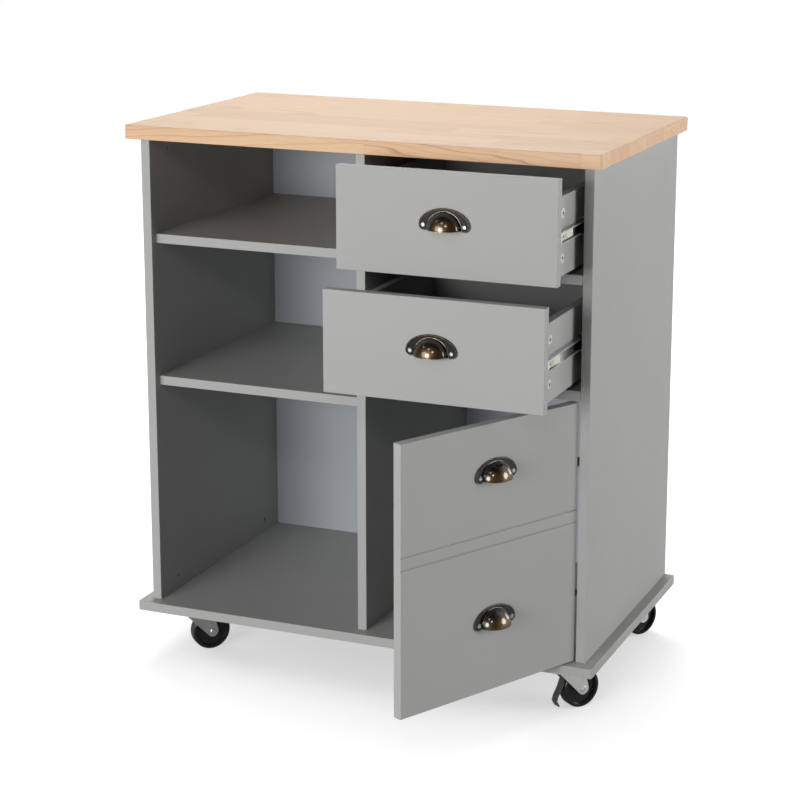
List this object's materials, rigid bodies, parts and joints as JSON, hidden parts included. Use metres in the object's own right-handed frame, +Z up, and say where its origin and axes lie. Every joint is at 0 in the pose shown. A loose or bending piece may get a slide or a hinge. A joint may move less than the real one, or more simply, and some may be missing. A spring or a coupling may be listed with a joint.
{
  "type": "kitchen cart",
  "caption": "Board kitchen cart on swivel casters: wooden worktop, open shelf bay, two runner-mounted drawers over a hinged door with cup pulls.",
  "frame": {"origin": "on the floor under the middle of the box of the whole cart, with its drawers and door open as pictured", "axes": "+Z up, -Y out of the front with the drawers and door, +X to the right seen from the front"},
  "size_m": [0.78, 0.7396, 0.8818],
  "materials": {
    "painted_board": "satin grey lacquer on board",
    "worktop_wood": "oiled, finger-jointed staves",
    "pull_bronze": "antique bronze, rubbed at the edges",
    "zinc_steel": "bright zinc plate",
    "nylon": "white moulded nylon",
    "wheel_black": "black moulded wheel",
    "brake_plastic": "dark grey moulding",
    "bottom_board": "thin painted fibreboard"
  },
  "bodies": {
    "cabinet": {"worktop": "worktop_wood", "side_panel_left": "painted_board", "side_panel_right": "painted_board", "centre_divider": "painted_board", "shelf_upper": "painted_board", "shelf_lower": "painted_board", "drawer_rail_upper": "painted_board", "drawer_rail_lower": "painted_board", "base_board": "painted_board", "back_panel": "bottom_board", "back_panel_nails": "zinc_steel", "cam_locks": "zinc_steel", "cam_bolts": "zinc_steel", "runner_and_hinge_screws": "zinc_steel", "top_drawer_runners_outer": "zinc_steel", "middle_drawer_runners_outer": "zinc_steel", "hinge_arm_upper": "zinc_steel", "hinge_arm_lower": "zinc_steel", "caster_plates": "zinc_steel", "caster_screws": "zinc_steel"},
    "top_drawer": {"top_drawer_front": "painted_board", "top_drawer_side_left": "painted_board", "top_drawer_side_right": "painted_board", "top_drawer_back": "painted_board", "top_drawer_bottom": "bottom_board", "top_drawer_fixings": "zinc_steel", "top_drawer_runners_inner": "zinc_steel", "top_drawer_runner_clips": "nylon", "top_drawer_pull": "pull_bronze", "top_drawer_pull_screws": "zinc_steel"},
    "top_drawer_cages": {"top_drawer_ball_cages": "zinc_steel"},
    "middle_drawer": {"middle_drawer_front": "painted_board", "middle_drawer_side_left": "painted_board", "middle_drawer_side_right": "painted_board", "middle_drawer_back": "painted_board", "middle_drawer_bottom": "bottom_board", "middle_drawer_fixings": "zinc_steel", "middle_drawer_runners_inner": "zinc_steel", "middle_drawer_runner_clips": "nylon", "middle_drawer_pull": "pull_bronze", "middle_drawer_pull_screws": "zinc_steel"},
    "middle_drawer_cages": {"middle_drawer_ball_cages": "zinc_steel"},
    "door": {"door_panel": "painted_board", "door_pull_upper": "pull_bronze", "door_pull_lower": "pull_bronze", "door_screws": "zinc_steel", "hinge_cup_upper": "zinc_steel", "hinge_cup_lower": "zinc_steel"},
    "swivel_front_left": {"fork_front_left": "zinc_steel"},
    "wheel_front_left": {"wheel_front_left": "wheel_black"},
    "swivel_front_right": {"fork_front_right": "zinc_steel"},
    "wheel_front_right": {"wheel_front_right": "wheel_black"},
    "brake_front_right": {"brake_front_right": "brake_plastic"},
    "swivel_rear_left": {"fork_rear_left": "zinc_steel"},
    "wheel_rear_left": {"wheel_rear_left": "wheel_black"},
    "brake_rear_left": {"brake_rear_left": "brake_plastic"},
    "swivel_rear_right": {"fork_rear_right": "zinc_steel"},
    "wheel_rear_right": {"wheel_rear_right": "wheel_black"}
  },
  "joints": [
    {"name": "top_drawer_slide", "type": "slide", "parent": "cabinet", "child": "top_drawer", "axis": [0, -1, 0], "range_m": [-0.1093, 0.1507]},
    {"name": "top_drawer_cage_slide", "type": "slide", "parent": "cabinet", "child": "top_drawer_cages", "axis": [0, -1, 0], "range_m": [-0.05465, 0.07535]},
    {"name": "middle_drawer_slide", "type": "slide", "parent": "cabinet", "child": "middle_drawer", "axis": [0, -1, 0], "range_m": [-0.1577, 0.1023]},
    {"name": "middle_drawer_cage_slide", "type": "slide", "parent": "cabinet", "child": "middle_drawer_cages", "axis": [0, -1, 0], "range_m": [-0.07885, 0.05115]},
    {"name": "door_hinge", "type": "hinge", "parent": "cabinet", "child": "door", "pos_m": [0.3555, -0.06521, 0.3038], "axis": [0, 0, 1], "range_deg": [-62.75, 37.25]},
    {"name": "front_left_swivel", "type": "hinge", "parent": "cabinet", "child": "swivel_front_left", "pos_m": [-0.324, -0.02521, 0.0748], "axis": [0, 0, 1], "continuous": true},
    {"name": "front_left_wheel_spin", "type": "hinge", "parent": "swivel_front_left", "child": "wheel_front_left", "pos_m": [-0.30333, -0.00143, 0.032], "axis": [-0.7547, 0.6561, 0], "continuous": true},
    {"name": "front_right_swivel", "type": "hinge", "parent": "cabinet", "child": "swivel_front_right", "pos_m": [0.324, -0.02521, 0.0748], "axis": [0, 0, 1], "continuous": true},
    {"name": "front_right_wheel_spin", "type": "hinge", "parent": "swivel_front_right", "child": "wheel_front_right", "pos_m": [0.34296, -0.00005, 0.032], "axis": [-0.7986, 0.6018, 0], "continuous": true},
    {"name": "front_right_brake", "type": "hinge", "parent": "swivel_front_right", "child": "brake_front_right", "pos_m": [0.32761, -0.02042, 0.05935], "axis": [0.7986, -0.6018, 0], "range_deg": [-15, 0]},
    {"name": "rear_left_swivel", "type": "hinge", "parent": "cabinet", "child": "swivel_rear_left", "pos_m": [-0.324, 0.30379, 0.0748], "axis": [0, 0, 1], "continuous": true},
    {"name": "rear_left_wheel_spin", "type": "hinge", "parent": "swivel_rear_left", "child": "wheel_rear_left", "pos_m": [-0.31323, 0.33339, 0.032], "axis": [-0.9397, 0.342, 0], "continuous": true},
    {"name": "rear_left_brake", "type": "hinge", "parent": "swivel_rear_left", "child": "brake_rear_left", "pos_m": [-0.32195, 0.30943, 0.05935], "axis": [0.9397, -0.342, 0], "range_deg": [-15, 0]},
    {"name": "rear_right_swivel", "type": "hinge", "parent": "cabinet", "child": "swivel_rear_right", "pos_m": [0.324, 0.30379, 0.0748], "axis": [0, 0, 1], "continuous": true},
    {"name": "rear_right_wheel_spin", "type": "hinge", "parent": "swivel_rear_right", "child": "wheel_rear_right", "pos_m": [0.34069, 0.33051, 0.032], "axis": [-0.848, 0.5299, 0], "continuous": true}
  ],
  "couplings": [
    {"joint": "top_drawer_cage_slide", "follows": "top_drawer_slide", "ratio": 0.5},
    {"joint": "middle_drawer_cage_slide", "follows": "middle_drawer_slide", "ratio": 0.5}
  ]
}
